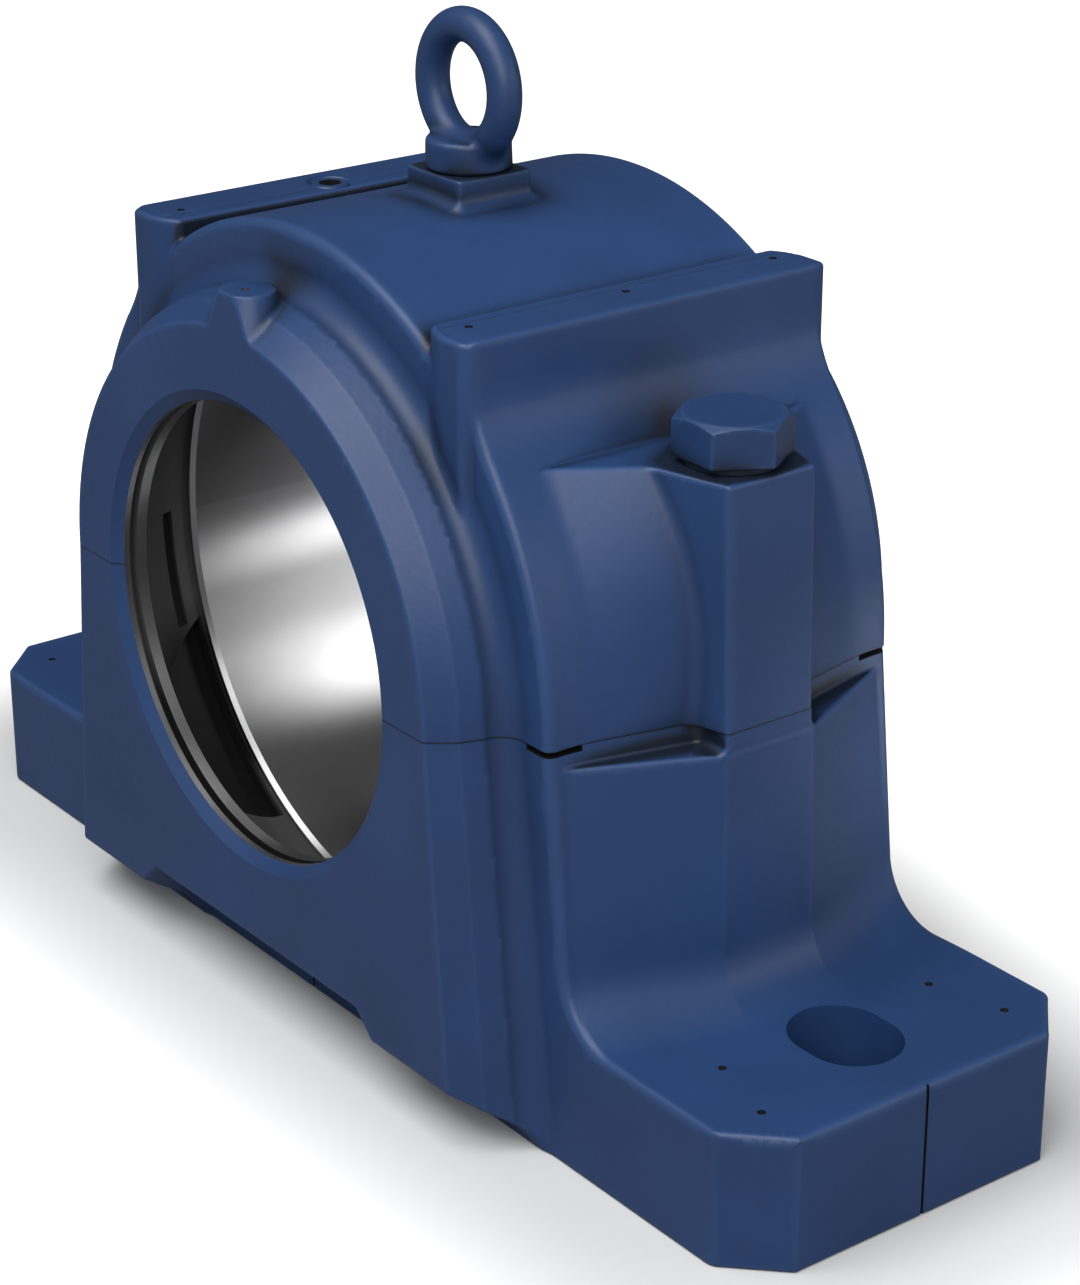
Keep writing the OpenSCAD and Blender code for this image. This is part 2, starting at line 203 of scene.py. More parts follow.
def in_mm(group):
    """The numbers of a property group, with its lengths in millimetres."""
    numbers = [p for p in group.bl_rna.properties if p.type == "FLOAT"]
    return SimpleNamespace(**{
        p.identifier: getattr(group, p.identifier) / (MM if p.unit == "LENGTH" else 1.0) for p in numbers})


# Blending of distance fields, where less than zero is inside


def join(p, q, r, c=0.0):
    """Union of two fields with a hollow fillet of radius r, where c is the cosine of the angle between
    their normals: in the corner the distance is r less the distance to the fillet's centre."""
    dp = np.maximum(r - p, 0.0)
    dq = np.maximum(r - q, 0.0)
    inside = (dp > c * dq) & (dq > c * dp)
    corner = r - np.sqrt(np.maximum(dp * dp + dq * dq - 2.0 * c * dp * dq, 0.0) / (1.0 - c * c))
    return np.where(inside, corner, np.minimum(p, q))


def meet(p, q, r, c=0.0):
    """Intersection of two fields whose common edge is rounded with radius r."""
    return -join(-p, -q, r, c)


def ramp(x, low, high):
    """Smooth step from 0 at low to 1 at high."""
    t = np.clip((x - low) / (high - low), 0.0, 1.0)
    return t * t * (3.0 - 2.0 * t)


# Distance fields of the castings, the bolt heads and the eye. All are alike on their four sides, so a stands
# for |x| and b for |y|. The factor after a slanted form, about one over the root of one plus its slope
# squared, turns its offset into a distance.

# The webs beside the barrel where they end at the split, alike on cap and base
WEB_OUT = 1.5
WEB_LEAN = 0.235
WEB_DEPTH = 54.0
WEB_FILLET = 26.0
WEB_COSINE = 0.93


def nose_field(s, a, b, z, radius):
    """Nose round a shaft opening: a drafted flank, a chamfer, the nib on top and the flat face."""
    flank_draft, flank_from = 0.35, 84.0
    flank = s.nose_r + s.nose_rise + flank_draft * (s.nose_y - s.nose_run - np.maximum(b, flank_from))
    flank = (radius - flank) * 0.944
    bevel = (radius - s.nose_r) * s.nose_run + (b - s.nose_y) * s.nose_rise
    body = meet(flank, bevel / math.hypot(s.nose_rise, s.nose_run), 2.0, 0.957)
    nib_inset, nib_draft = 9.0, 0.38
    nib = np.hypot(a, b - (s.nose_y - nib_inset)) - (s.nib_r + nib_draft * (s.nib_z - z))
    nib = meet(nib * 0.935, z - s.nib_z, 0.8, 0.3)
    body = join(body, nib, 3.5, 0.5)
    return meet(body, b - s.nose_y, 1.2, 0.45)


def cap_field(s, x, y, z):
    """Cap: barrel with rounded rims, noses, webs and bosses for the bolts, bars with a hollow run, pad."""
    a, b = np.abs(x), np.abs(y)
    h = z - s.axis_z
    radius = np.hypot(a, h)
    tube = radius - s.barrel_r
    # webs that swell from the barrel and lean more toward the top, and the bosses in them
    lean_growth, edge_height, face_draft = 0.425, 120.0, 0.028
    t = np.clip(h / (s.boss_z - s.axis_z), -0.1, 1.2)
    edge = np.sqrt(np.maximum(s.barrel_r ** 2 - np.minimum(np.abs(h), edge_height) ** 2, 1.0))
    lean = WEB_LEAN + lean_growth * t
    web = (a - edge - WEB_OUT - lean * (WEB_DEPTH - b)) / np.sqrt(1.0 + lean ** 2 + (h / edge) ** 2)
    face = a - (s.boss_x - face_draft * h)
    spread = math.hypot(1.0, s.boss_flare)
    flank = (b - s.boss_half + s.boss_flare * face) / spread
    turn = (s.boss_flare + lean) / (spread * np.sqrt(1.0 + lean ** 2))
    side = join(tube, web, WEB_FILLET, WEB_COSINE)
    side = join(side, meet(face, flank, 2.0, 0.26), s.boss_fillet, turn)
    low = meet(side, z - s.boss_z, 1.2)
    barrel = join(tube, low, np.clip(0.4 * (tube - side), 0.01, 3.0), 0.6)
    # hollow run of the bars, which starts a little outside their inner faces
    run_inset = 8.0
    run = join(tube, a - s.bar_out, s.bar_run, 0.72)
    run = np.maximum(run, np.maximum(s.bar_in + run_inset - a, z - s.bar_z))
    barrel = np.minimum(barrel, run)
    barrel = meet(barrel, b - s.half_depth, s.rim)
    barrel = join(barrel, nose_field(s, a, b, z, radius), s.nose_root)
    # bars, whose ends curve back toward the middle of the housing
    end_curve, end_from, bar_low = 0.024, 93.0, 215.0
    end = (b - s.bar_end + end_curve * np.maximum(end_from - a, 0.0) ** 2) / 1.05
    bar = meet(a - s.bar_out, end, 4.5)
    bar = meet(bar, s.bar_in - a, 2.0)
    bar = meet(bar, z - s.bar_z, 1.6)
    bar = np.maximum(bar, bar_low - z)
    barrel = join(barrel, bar, 2.5, 0.3)
    # pad of the eye bolt
    pad_draft = 0.03
    flare = s.pad_half + pad_draft * (s.pad_z - z)
    pad = meet(meet(a - flare, b - flare, 1.8) * 0.98, z - s.pad_z, 1.0, 0.2)
    return join(barrel, pad, 5.0, 0.1)


def base_field(s, x, y, z):
    """Base: upright body with bolt bosses and webs, hollow fillets onto the feet, and noses down to their
    undersides."""
    a, b = np.abs(x), np.abs(y)
    drop = s.axis_z - z
    wall_draft = 0.11
    wall = (a - (s.barrel_r - 0.4 + wall_draft * drop)) * 0.994
    # flat webs from the corners of the body to the bosses, with a level lip
    face_draft, half_draft, web_out, web_depth = 0.029, 0.011, 2.0, 64.0
    face = a - (s.boss_x + face_draft * drop)
    half = s.boss_half + 0.3 + half_draft * drop
    web_run, web_run_loss, web_width = 21.8, 0.081, 45.0
    lean = (web_run - web_run_loss * drop) / web_width
    web = a - (s.barrel_r + web_out + wall_draft * drop) - lean * (web_depth - np.maximum(b, half))
    web = np.maximum(web / np.sqrt(1.0 + lean ** 2), face)
    lip = z - (s.axis_z - s.web_drop)
    rise = meet(join(lip, b - half, 3.0), web, 1.3)
    # above the lip the wall swells like the cap's webs where they end at the split
    swell = (a - (s.barrel_r + WEB_OUT + wall_draft * drop) - WEB_LEAN * (WEB_DEPTH - b)) * 0.973
    side = join(wall, swell, WEB_FILLET, WEB_COSINE)
    side = join(side, meet(face, b - half, 2.0), s.boss_fillet, 0.42)
    side = join(side, meet(web, lip, 1.3), np.where(drop < s.web_drop + 4.0, 1.2, 0.01))
    side = np.minimum(side, meet(rise, drop - s.axis_z, 0.5))
    side = np.where(drop > s.web_drop + 2.0, join(wall, web, 5.0, 0.9), side)
    # feet, whose long edges are rounded less than the body's
    foot_round, round_from, round_to = 1.8, 158.0, 196.0
    body = join(side, z - s.foot_z, s.foot_fillet, 0.109)
    chamfer = (a + b - s.half_length - s.half_depth + s.corner) * math.sqrt(0.5)
    body = meet(body, meet(a - s.half_length, chamfer, 1.2, 0.707), 1.6)
    rounding = foot_round + (s.rim - foot_round) * (1.0 - ramp(a, round_from, round_to))
    body = meet(body, b - s.half_depth, rounding)
    # noses, straight below the axis, with their sloping undersides and the notch
    narrowing, narrowing_growth, under_slope, under_scale = 12.3, 0.22, 0.648, 0.839
    shift = (narrowing + narrowing_growth * (s.nose_y - b)) * drop / s.axis_z
    radius = np.where(drop > 0.0, a - shift, np.hypot(a, drop))
    nose = nose_field(s, a, b, z, radius)
    fall = under_slope * (s.nose_y - b)
    under = (s.nose_under - fall - z) * under_scale
    notch = (s.nose_under + s.notch_rise - fall - z) * under_scale
    notch_side = (s.notch_half + s.notch_rise - a - (z - s.nose_under + fall)) * math.sqrt(0.5)
    under = np.maximum(under, np.minimum(notch, notch_side))
    nose = meet(nose, under, 1.0)
    return meet(join(body, nose, s.nose_root), -z, 0.8)


def head_field(s, x, y, z):
    """Hexagon head with its chamfered crown, on a round washer face; corners toward both ends of X."""
    a, b = np.abs(x), np.abs(y)
    half = s.bolt_af / 2.0
    radius = np.hypot(a, b)
    face_top, crown_start, disc_inset = s.boss_z + s.bolt_face, 0.95, 1.0
    hexagon = meet(b - half, a * math.cos(math.pi / 6.0) + b * 0.5 - half, 0.7, 0.5)
    crown = 0.5 * (radius - crown_start * half) + 0.866 * (z - BOLT_TOP)
    head = meet(hexagon, crown, 0.4, 0.43)
    head = meet(head, z - BOLT_TOP, 0.6, 0.866)
    head = meet(head, face_top - z, 0.4)
    disc = meet(radius - half + disc_inset, s.boss_z + 0.05 - z, 0.3)
    return np.minimum(head, np.maximum(disc, z - s.boss_z - s.bolt_face - 1.0))


def eye_field(s, x, y, z):
    """Forged eye: a ring about Y that runs with soft necks into a round collar."""
    a, b = np.abs(x), np.abs(y)
    middle = EYE_TOP - s.eye_r - s.eye_bar
    ring = np.hypot(np.hypot(a, z - middle) - s.eye_r, b) - s.eye_bar
    radius = np.hypot(a, b)
    top = s.pad_z + s.collar_h
    collar = meet(radius - s.collar_r + 0.03 * np.maximum(z - s.pad_z, 0.0), z - top, 1.8)
    collar = meet(collar, s.pad_z + 0.25 - z, 1.2)
    return join(ring, collar, 3.2, 0.2)


def housing_field(s, x, y, z):
    """The whole housing without its bore: the base below the split, the cap above it, bolt heads and eye."""
    base = np.maximum(base_field(s, x, y, z), z - s.axis_z)
    cap = np.maximum(cap_field(s, x, y, z), s.axis_z - z)
    heads = head_field(s, np.abs(x) - BOLT_X, y, z)
    return np.minimum(np.minimum(base, cap), np.minimum(heads, eye_field(s, x, y, z)))


# Meshes


def add_piece(name, points, faces, materials):
    """A mesh object from points in millimetres."""
    mesh = bpy.data.meshes.new(name)
    mesh.from_pydata((np.asarray(points) * MM).tolist(), [], faces)
    mesh.validate()
    for material in materials:
        mesh.materials.append(material)
    piece = bpy.data.objects.new(name, mesh)
    bpy.context.scene.collection.objects.link(piece)
    return piece


def from_field(name, field, bottom, reach, step, adapt, materials, middle=(0.0, 0.0)):
    """Closed surface where the field is zero, meshed on a grid of cubes that is mirrored from one quarter,
    then moved onto the field along its slope. The grid runs from the middle and the bottom to the reach, and
    the field takes places from the middle of the piece. adapt is how far flat parts are thinned."""
    xs = np.arange(0.0, reach[0] + step, step)
    ys = np.arange(0.0, reach[1] + step, step)
    zs = np.arange(bottom, reach[2] + step, step)
    quarter = field(xs[:, None, None], ys[None, :, None], zs[None, None, :]).astype(np.float32)
    half = np.concatenate([quarter[:0:-1], quarter], axis=0)
    whole = np.ascontiguousarray(np.concatenate([half[:, :0:-1], half], axis=1))
    grid = openvdb.FloatGrid(3.0 * step)
    grid.copyFromArray(whole)
    points, triangles, squares = grid.convertToPolygons(isovalue=0.0, adaptivity=adapt)
    points = points.astype(float) * step + np.array([-xs[-1], -ys[-1], zs[0]])
    limit = 0.6 * step
    for _ in range(4):
        value, slope = probe(field, points)
        points -= np.clip(value[:, None] * slope, -limit, limit)
    points += np.array([*middle, 0.0])
    return add_piece(name, points, triangles.tolist() + squares.tolist(), materials)


def probe(field, points, step=0.05):
    """The field at points and its unit slope, from differences over a small step."""
    x, y, z = points.T
    value = field(x, y, z)
    slope = np.stack([
        field(x + step, y, z) - field(x - step, y, z),
        field(x, y + step, z) - field(x, y - step, z),
        field(x, y, z + step) - field(x, y, z - step)], axis=1)
    size = np.linalg.norm(slope, axis=1)
    size[size == 0.0] = 1.0
    gradient = size / (2.0 * step)
    return value / np.maximum(gradient, 0.3), slope / size[:, None]


def bend(field, points, step=0.8):
    """How sharply the surface turns at points: the spread of its unit slope, positive on outer edges."""
    total = np.zeros(len(points))
    for axis in range(3):
        offset = np.zeros(3)
        offset[axis] = step
        ahead = probe(field, points + offset)[1][:, axis]
        behind = probe(field, points - offset)[1][:, axis]
        total += (ahead - behind) / (2.0 * step)
    return total


def closeness_for_shade(field, points, slope):
    """How closed in points on a surface are, 0 in the open, for the painted shade in nooks: one less the mean,
    over some reaches along the normal, of the field there divided by the reach."""
    total = np.zeros(len(points))
    for reach in SHADE_REACHES:
        total += np.clip(field(*(points + slope * reach).T) / reach, 0.0, 1.0)
    return 1.0 - total / len(SHADE_REACHES)


def read(mesh, what, key, kind=np.float64, width=1):
    """One value of every element of a mesh as an array."""
    data = np.zeros(len(getattr(mesh, what)) * width, kind)
    getattr(mesh, what).foreach_get(key, data)
    return data.reshape(-1, width) if width > 1 else data


def box_cutter(low, high, slot):
    """Corners and faces of a box."""
    points = [(x, y, z) for x in (low[0], high[0]) for y in (low[1], high[1]) for z in (low[2], high[2])]
    faces = [(0, 1, 3, 2), (4, 6, 7, 5), (0, 4, 5, 1), (2, 3, 7, 6), (0, 2, 6, 4), (1, 5, 7, 3)]
    return outward((np.array(points, float), faces, [slot] * 6))


def outward(shape):
    """The shape with its faces turned to point outwards, by the sign of the volume that they enclose."""
    points, faces, index = shape
    volume = 0.0
    for face in faces:
        corners = points[list(face)]
        volume += (np.cross(corners[1:-1], corners[2:]) @ corners[0]).sum()
    return shape if volume > 0.0 else (points, [face[::-1] for face in faces], index)


def spun(profile, slots, turns, centre, along="z"):
    """A profile of (radius, place along the axis) carried round an axis in a number of turns and closed at
    both ends. slots gives the material of the band after each point."""
    profile = np.array(profile, float)
    count = len(profile)
    angle = np.arange(turns) * 2.0 * math.pi / turns
    ring = np.stack([np.cos(angle), np.sin(angle)], axis=1)
    radial = profile[:, 0][:, None, None] * ring[None]
    height = np.broadcast_to(profile[:, 1][:, None, None], (count, turns, 1))
    points = np.concatenate([radial, height], axis=2).reshape(-1, 3)
    here = np.arange(turns)
    after = (here + 1) % turns
    faces = []
    index = []
    for k in range(count - 1):
        low, high = k * turns, (k + 1) * turns
        faces += np.stack([here + low, after + low, after + high, here + high], axis=1).tolist()
        index += [slots[k]] * turns
    faces.append(here[::-1].tolist())
    faces.append((here + (count - 1) * turns).tolist())
    index += [slots[0], slots[-1]]
    if along == "y":
        points = points[:, [0, 2, 1]]
    return outward((points + np.array(centre), faces, index))


def prism(outline, low, high, slot, along="z", end=None):
    """An outline in (x, y), or in (x, z) along y, carried along an axis and closed at both ends.
    With an end outline of as many points, the sides run straight from one to the other."""
    outline = np.array(outline, float)
    count = len(outline)
    here = np.arange(count)
    after = (here + 1) % count
    last = outline if end is None else np.array(end, float)
    levels = [np.column_stack([shape, np.full(count, v)]) for shape, v in ((outline, low), (last, high))]
    points = np.concatenate(levels)
    faces = np.stack([here, after, after + count, here + count], axis=1).tolist()
    faces += [here[::-1].tolist(), (here + count).tolist()]
    if along == "y":
        points = points[:, [0, 2, 1]]
    return outward((points, faces, [slot] * len(faces)))


def arc(centre, radius, start, stop, count):
    """Points on an arc, angles in degrees."""
    angle = np.radians(np.linspace(start, stop, count))
    return np.stack([centre[0] + radius * np.cos(angle), centre[1] + radius * np.sin(angle)], axis=1)


def mirrored(shape, axis):
    """A shape on the other side of a middle plane, with its faces turned to point outwards again."""
    points, faces, index = shape
    flip = np.ones(3)
    flip[axis] = -1.0
    return points * flip, [f[::-1] for f in faces], list(index)


def both(shapes, axis):
    """Shapes with their mirror images."""
    return shapes + [mirrored(shape, axis) for shape in shapes]


def on_four_sides(shapes):
    """Shapes with their mirror images left and right, and front and back."""
    return both(both(shapes, 0), 1)


def cut(piece, rounds):
    """Takes rounds of cutters out of a piece; the cutters of one round don't touch each other."""
    helpers = []
    for shapes in rounds:
        offset = 0
        points, faces, index = [], [], []
        for p, f, i in shapes:
            points.append(p)
            faces += [[v + offset for v in face] for face in f]
            index += i
            offset += len(p)
        helper = add_piece("cutter", np.concatenate(points), faces, piece.data.materials)
        helper.data.polygons.foreach_set("material_index", index)
        modifier = piece.modifiers.new("cut", "BOOLEAN")
        modifier.operation = "DIFFERENCE"
        modifier.solver = "MANIFOLD"
        modifier.object = helper
        helpers.append(helper)
    evaluated = piece.evaluated_get(bpy.context.evaluated_depsgraph_get())
    result = bpy.data.meshes.new_from_object(evaluated)
    if len(result.polygons) < len(piece.data.polygons) // 4:
        raise RuntimeError("the cuts in " + piece.name + " failed")
    piece.modifiers.clear()
    old = piece.data
    piece.data = result
    result.name = piece.name
    bpy.data.meshes.remove(old)
    for helper in helpers:
        mesh = helper.data
        bpy.data.objects.remove(helper)
        bpy.data.meshes.remove(mesh)


def shade_smooth(mesh, degrees):
    """Smooth faces, with sharp edges where they turn by more than an angle."""
    mesh.polygons.foreach_set("use_smooth", np.ones(len(mesh.polygons), bool))
    mesh.set_sharp_from_angle(angle=math.radians(degrees))


def shade_cast(piece, field, near, middle=(0.0, 0.0)):
    """Smooth shading: cast faces take their normals from the field, machined faces stay crisp by angle.
    The edge attribute holds how sharply the surface turns, from -1 in corners to 1 on edges, and the closed
    attribute how closed in it is by what stands near, from 0 to 1. Both are 0 off the field's surface. The
    paint turns them into a painted highlight on edges and painted shade in corners and nooks."""
    mesh = piece.data
    shade_smooth(mesh, CAST_ANGLE)
    offset = np.array([*middle, 0.0])
    points = read(mesh, "vertices", "co", width=3) / MM - offset
    value, slope = probe(field, points)
    # a turn of 1 in 3 mm counts as sharp; points off the field, or whose face leans away from it, are machined
    sharp, off_field, on_field, alike = 3.0, 0.3, 0.05, 0.79
    edge = np.clip(bend(field, points) * sharp, -1.0, 1.0)
    # closed drives the shade that the paint paints into nooks and round neighbouring pieces
    closed = closeness_for_shade(near, points + offset, slope)
    for name, amount in (("edge", edge), ("closed", closed)):
        amount[np.abs(value) > off_field] = 0.0
        mesh.attributes.new(name, "FLOAT", "POINT").data.foreach_set("value", amount.astype(np.float32))
    corner = read(mesh, "loops", "vertex_index", np.int32)
    totals = read(mesh, "polygons", "loop_total", np.int32)
    index = np.repeat(read(mesh, "polygons", "material_index", np.int32), totals)
    facing = np.repeat(read(mesh, "polygons", "normal", width=3), totals, axis=0)
    normals = slope[corner]
    along = np.einsum("ij,ij->i", normals, facing)
    normals[(index != PAINT) | (np.abs(value[corner]) > on_field) | (along < alike)] = 0.0
    mesh.normals_split_custom_set(normals.tolist())


# Finishes

# What each finish group puts out
FINISH_OUTPUTS = [
    ("Color", "NodeSocketColor"), ("Roughness", "NodeSocketFloat"), ("Height", "NodeSocketFloat")]

# Tones that the finishes fade to, in linear light
# painted shade in nooks
NOOK_SHADE_DARK = (0.005, 0.008, 0.014, 1.0)
# painted shade in the thin gap of the split
SPLIT_SHADE_DARK = (0.002, 0.003, 0.006, 1.0)
STEEL_PALE = (0.60, 0.60, 0.60, 1.0)
# painted shade low in the cavity and in the sump
CAVITY_SHADE_DARK = (0.006, 0.006, 0.006, 1.0)

# The castings' materials, in the order of their slots
FINISH_NAMES = ("blue cast paint", "machined land", "dark cavity", "turned seat")


def new_group(name, inputs):
    """An empty shader node group with named inputs, and with colour, roughness and height as outputs."""
    group = bpy.data.node_groups.new(name, "ShaderNodeTree")
    for label, kind, value in inputs:
        socket = group.interface.new_socket(name=label, in_out="INPUT", socket_type=kind)
        if value is not None:
            socket.default_value = value
    for label, kind in FINISH_OUTPUTS:
        group.interface.new_socket(name=label, in_out="OUTPUT", socket_type=kind)
    return group, group.nodes.new("NodeGroupInput"), group.nodes.new("NodeGroupOutput")


def put_out(group, out, *sockets):
    """The group, with sockets linked to its colour, roughness and height."""
    for (label, _), socket in zip(FINISH_OUTPUTS, sockets):
        group.links.new(socket, out.inputs[label])
    return group


def set_input(tree, socket, value):
    """Links a socket to another, or sets its value."""
    if isinstance(value, bpy.types.NodeSocket):
        tree.links.new(value, socket)
    else:
        socket.default_value = value


def node(tree, kind, links, **values):
    """A node with its inputs set from values or linked sockets."""
    made = tree.nodes.new(kind)
    for key, value in values.items():
        setattr(made, key, value)
    for key, value in links.items():
        set_input(tree, made.inputs[key], value)
    return made


def calculated(tree, operation, *values):
    """The result of a Math node."""
    return node(tree, "ShaderNodeMath", dict(enumerate(values)), operation=operation).outputs[0]


def moved(tree, operation, *values):
    """The result of a Vector Math node: a number for a length or a distance, and else a vector."""
    made = node(tree, "ShaderNodeVectorMath", dict(enumerate(values)), operation=operation)
    return made.outputs["Value" if operation in ("LENGTH", "DISTANCE") else "Vector"]


def ranged(tree, value, start, stop, low=0.0, high=1.0, blend="LINEAR"):
    """A value carried from the range start to stop onto the range low to high, and kept in it."""
    links = {"Value": value, "From Min": start, "From Max": stop, "To Min": low, "To Max": high}
    return node(tree, "ShaderNodeMapRange", links, interpolation_type=blend).outputs["Result"]


def noise(tree, place, scale, detail, roughness=0.5):
    """A noise texture's value."""
    links = {"Vector": place, "Scale": scale, "Detail": detail, "Roughness": roughness}
    return node(tree, "ShaderNodeTexNoise", links).outputs["Fac"]


def mix_colour(tree, factor, first, second):
    """The colour output of a mix of two colours."""
    mix = node(tree, "ShaderNodeMix", {0: factor, 6: first, 7: second}, data_type="RGBA")
    return mix.outputs[2]


def height_of(tree, place):
    """The Z of a place."""
    return node(tree, "ShaderNodeSeparateXYZ", {"Vector": place}).outputs["Z"]


def paint_group():
    """Paint over a casting: a painted highlight on edges, painted shade in corners, in nooks and along the
    split, a slow drift of colour and the fine skin of iron."""
    group, given, out = new_group("cast paint", [
        ("Coordinates", "NodeSocketVector", None), ("Turn", "NodeSocketFloat", 0.0),
        ("Paint", "NodeSocketColor", None), ("Edge", "NodeSocketColor", None),
        ("Deep", "NodeSocketColor", None),
        ("Closed", "NodeSocketFloat", 0.0), ("Roughness", "NodeSocketFloat", 0.4),
        ("Split Height", "NodeSocketFloat", 0.15), ("Split Line", "NodeSocketFloat", 0.0003)])
    # deep is the darker paint, for the drift of colour and for the painted shade in hollows
    place, turn, deep = (given.outputs[label] for label in ("Coordinates", "Turn", "Deep"))
    skin = noise(group, place, 900.0, 4.0, 0.6)
    peel = noise(group, place, 260.0, 2.0)
    drift = ranged(group, noise(group, place, 14.0, 3.0), 0.3, 0.7, 0.0, 0.35)
    tint = mix_colour(group, drift, given.outputs["Paint"], deep)
    # painted highlight: the paint grows paler where the surface turns over an outer edge
    edge_highlight = calculated(group, "MULTIPLY", ranged(group, turn, 0.12, 0.95), 0.16)
    tint = mix_colour(group, edge_highlight, tint, given.outputs["Edge"])
    # painted shade: the paint darkens where the surface turns into a hollow corner
    hollow = calculated(group, "MULTIPLY", ranged(group, turn, -0.08, -0.8), 0.3)
    tint = mix_colour(group, hollow, tint, deep)
    # painted shade: the paint darkens where other surfaces close the point in, as in nooks and round bolt
    # heads
    nook_shade = ranged(group, given.outputs["Closed"], 0.03, 0.42, 0.0, 0.9)
    tint = mix_colour(group, nook_shade, tint, NOOK_SHADE_DARK)
    # painted shade of the split's gap: a dark band about the height of the split
    above = calculated(group, "SUBTRACT", height_of(group, place), given.outputs["Split Height"])
    away = calculated(group, "ABSOLUTE", above)
    line = ranged(group, away, 0.0, given.outputs["Split Line"], 0.95, 0.0, "SMOOTHSTEP")
    tint = mix_colour(group, line, tint, SPLIT_SHADE_DARK)
    gloss = calculated(group, "MULTIPLY_ADD", skin, 0.12, -0.06)
    rough = calculated(group, "ADD", given.outputs["Roughness"], gloss)
    height = calculated(group, "ADD", calculated(group, "MULTIPLY", skin, 0.35), peel)
    return put_out(group, out, tint, rough, height)


def turned_group():
    """Marks of a turning tool round the shaft axis: fine rings that differ along the axis."""
    group, given, out = new_group("turned steel", [
        ("Coordinates", "NodeSocketVector", None), ("Steel", "NodeSocketColor", None),
        ("Roughness", "NodeSocketFloat", 0.3)])
    place = given.outputs["Coordinates"]
    marks = noise(group, moved(group, "MULTIPLY", place, (4.0, 5200.0, 4.0)), 1.0, 3.0, 0.7)
    tint = mix_colour(group, noise(group, place, 40.0, 3.0), given.outputs["Steel"], STEEL_PALE)
    change = calculated(group, "MULTIPLY_ADD", marks, 0.08, -0.04)
    rough = calculated(group, "ADD", given.outputs["Roughness"], change)
    return put_out(group, out, tint, rough, marks)


def new_material(name):
    """A material, its node tree, its shader and its Object coordinates."""
    material = bpy.data.materials.new(name)
    material.use_nodes = True
    tree = material.node_tree
    place = tree.nodes.new("ShaderNodeTexCoord").outputs["Object"]
    return material, tree, tree.nodes["Principled BSDF"], place


def finish(tree, shader, tint, height, strength, distance, rough=None):
    """Leads colour, roughness and height to the shader, the height through a bump."""
    bump = node(tree, "ShaderNodeBump", {"Strength": strength, "Distance": distance, "Height": height})
    tree.links.new(tint, shader.inputs["Base Color"])
    tree.links.new(bump.outputs["Normal"], shader.inputs["Normal"])
    if rough is not None:
        tree.links.new(rough, shader.inputs["Roughness"])


def paint_material(name, group, look, share_of_colour=1.0):
    """Painted metal, from the paint group."""
    material, tree, shader, place = new_material(name)
    links = {"Coordinates": place, "Roughness": look.paint_rough, "Split Height": SPLIT_Z * MM,
             "Split Line": bpy.context.scene.housing_sizes.split_line * 1.6}
    # the edge and closed attributes feed the painted highlight and the painted shade of the paint group
    for label, attribute in (("Turn", "edge"), ("Closed", "closed")):
        links[label] = node(tree, "ShaderNodeAttribute", {}, attribute_name=attribute).outputs["Fac"]
    for label, tone in (("Paint", look.paint), ("Edge", look.paint_edge), ("Deep", look.paint_deep)):
        links[label] = (*[part * share_of_colour for part in tone], 1.0)
    paint = node(tree, "ShaderNodeGroup", links, node_tree=group).outputs
    finish(tree, shader, paint["Color"], paint["Height"], 0.25, 0.0004, paint["Roughness"])
    return material


def steel_material(name, group, look, roughness):
    """Bare metal with turning marks."""
    material, tree, shader, place = new_material(name)
    steel = node(tree, "ShaderNodeGroup", {
        "Coordinates": place, "Steel": (*look.steel, 1.0), "Roughness": roughness}, node_tree=group).outputs
    finish(tree, shader, steel["Color"], steel["Height"], 0.03, 0.0001, steel["Roughness"])
    shader.inputs["Metallic"].default_value = 1.0
    shader.inputs["Anisotropic"].default_value = 0.7
    shader.inputs["Anisotropic Rotation"].default_value = 0.25
    around = node(tree, "ShaderNodeTangent", {}, direction_type="RADIAL", axis="Y")
    tree.links.new(around.outputs["Tangent"], shader.inputs["Tangent"])
    return material


def cavity_material(look):
    """Unmachined iron inside the housing, with painted shade: darker between two heights, and black in the
    sump beyond the cavity's wall."""
    material, tree, shader, place = new_material(FINISH_NAMES[CAVITY])
    cloud = noise(tree, place, 60.0, 5.0)
    tint = mix_colour(tree, cloud, (*[part * 0.85 for part in look.cavity], 1.0), (*look.cavity, 1.0))
    flat = moved(tree, "MULTIPLY", place, (1.0, 0.0, 1.0))
    away = moved(tree, "DISTANCE", flat, (0.0, 0.0, SPLIT_Z * MM))
    beyond = ranged(tree, away, 0.1238, 0.127, 0.0, 0.95)
    height = height_of(tree, place)
    low_enough = ranged(tree, height, 0.116, 0.097, 0.0, 0.93)
    high_enough = ranged(tree, height, 0.058, 0.048, 1.0, 0.0)
    # painted shade: darker low in the cavity and black in the sump
    cavity_shade = calculated(tree, "MAXIMUM", calculated(tree, "MULTIPLY", low_enough, high_enough), beyond)
    finish(tree, shader, mix_colour(tree, cavity_shade, tint, CAVITY_SHADE_DARK), cloud, 0.1, 0.0003)
    shader.inputs["Metallic"].default_value = 0.0
    shader.inputs["Specular IOR Level"].default_value = 0.3
    shader.inputs["Roughness"].default_value = 0.5
    return material


def named(*names):
    """Materials that have been made, by their names."""
    return [bpy.data.materials[name] for name in names]


def finishes():
    """The materials of the castings in the order of their slots; those of all pieces are made once."""
    look = bpy.context.scene.finish_look
    if FINISH_NAMES[PAINT] not in bpy.data.materials:
        painted, turned = paint_group(), turned_group()
        paint_material(FINISH_NAMES[PAINT], painted, look)
        steel_material(FINISH_NAMES[STEEL], turned, look, roughness=0.32)
        cavity_material(look)
        steel_material(FINISH_NAMES[SEAT], turned, look, roughness=0.30)
        paint_material("blue bolt paint", painted, look, share_of_colour=0.85)
        steel_material("dowel steel", turned, look, roughness=0.34)
    return named(*FINISH_NAMES)


# Cutters and the two castings


